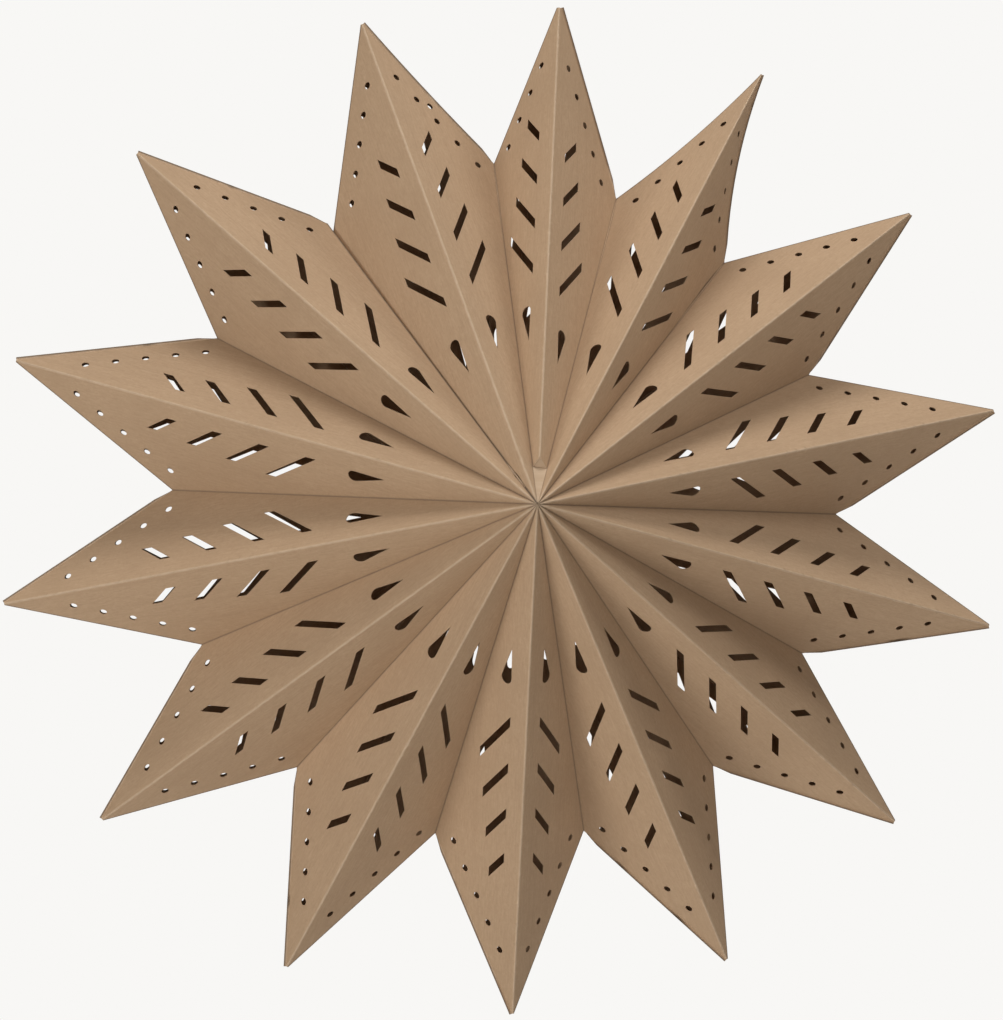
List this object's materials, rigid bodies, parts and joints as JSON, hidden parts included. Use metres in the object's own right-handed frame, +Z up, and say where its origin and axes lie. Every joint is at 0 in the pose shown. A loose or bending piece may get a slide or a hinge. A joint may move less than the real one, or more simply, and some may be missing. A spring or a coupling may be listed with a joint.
{
  "type": "folded paper star",
  "caption": "Hanging star of folded kraft paper points fanned into a circle, with punched dots, slits and drops in every wall.",
  "frame": {"origin": "where the star's axis crosses its middle plane", "axes": "+Y along the star's axis towards its back, the front faces -Y, +Z up in the star's plane"},
  "size_m": [0.592, 0.2992, 0.5979],
  "materials": {
    "kraft_paper": "matt brown kraft paper with fine fibres and paler worn folds"
  },
  "bodies": {
    "root": {"point_01": "kraft_paper", "point_02": "kraft_paper", "point_03": "kraft_paper", "point_04": "kraft_paper", "point_05": "kraft_paper", "point_06": "kraft_paper", "point_07": "kraft_paper", "point_08": "kraft_paper", "point_09": "kraft_paper", "point_10": "kraft_paper", "point_11": "kraft_paper", "point_12": "kraft_paper", "point_13": "kraft_paper", "point_14": "kraft_paper"}
  },
  "joints": []
}
